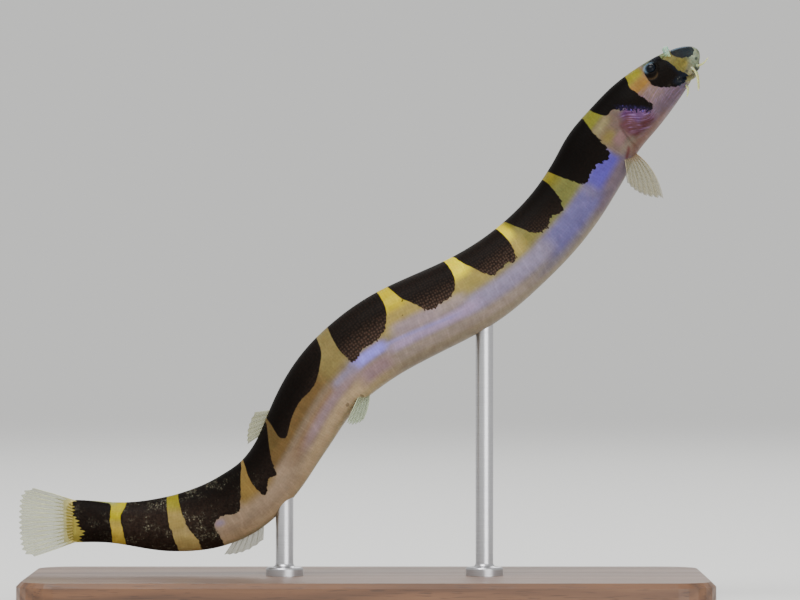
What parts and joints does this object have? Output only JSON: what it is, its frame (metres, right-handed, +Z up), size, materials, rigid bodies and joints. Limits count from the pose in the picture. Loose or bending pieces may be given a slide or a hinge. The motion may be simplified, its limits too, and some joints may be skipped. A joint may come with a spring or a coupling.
{
  "type": "loach display model",
  "caption": "Life-size display model of a kuhli loach swimming upward, with an eel-like banded body, short barbels and small fins, held over a flat wooden base by steel rods.",
  "frame": {"origin": "middle of the underside of the stand's base", "axes": "+X the way the head points, along the base's length; +Y to the fish's left, away from the viewer; +Z up"},
  "size_m": [0.0706, 0.032, 0.0571],
  "materials": {
    "banded_skin": "wet satin skin, yellow to pink with black saddles",
    "dark_tail_skin": "wet satin skin, mostly black bands",
    "eye": "gloss, blue-black",
    "fin_membrane": "clear thin membrane with pale rays",
    "barbel_skin": "satin, pale and soft",
    "walnut": "satin oiled walnut",
    "steel": "brushed"
  },
  "bodies": {
    "root": {"head": "banded_skin", "trunk_front": "banded_skin", "trunk_middle": "banded_skin", "trunk_rear": "banded_skin", "tail_front": "banded_skin", "tail_rear": "dark_tail_skin", "eye_left": "eye", "eye_right": "eye", "barbel_nasal_left": "barbel_skin", "barbel_nasal_right": "barbel_skin", "barbel_rostral_left": "barbel_skin", "barbel_rostral_right": "barbel_skin", "barbel_maxillary_left": "barbel_skin", "barbel_maxillary_right": "barbel_skin", "barbel_mandibular_left": "barbel_skin", "barbel_mandibular_right": "barbel_skin", "pectoral_fin_left": "fin_membrane", "pectoral_fin_right": "fin_membrane", "pelvic_fin_left": "fin_membrane", "pelvic_fin_right": "fin_membrane", "dorsal_fin": "fin_membrane", "anal_fin": "fin_membrane", "caudal_fin": "fin_membrane", "stand_base": "walnut", "stand_rod_front": "steel", "stand_rod_rear": "steel"}
  },
  "joints": []
}
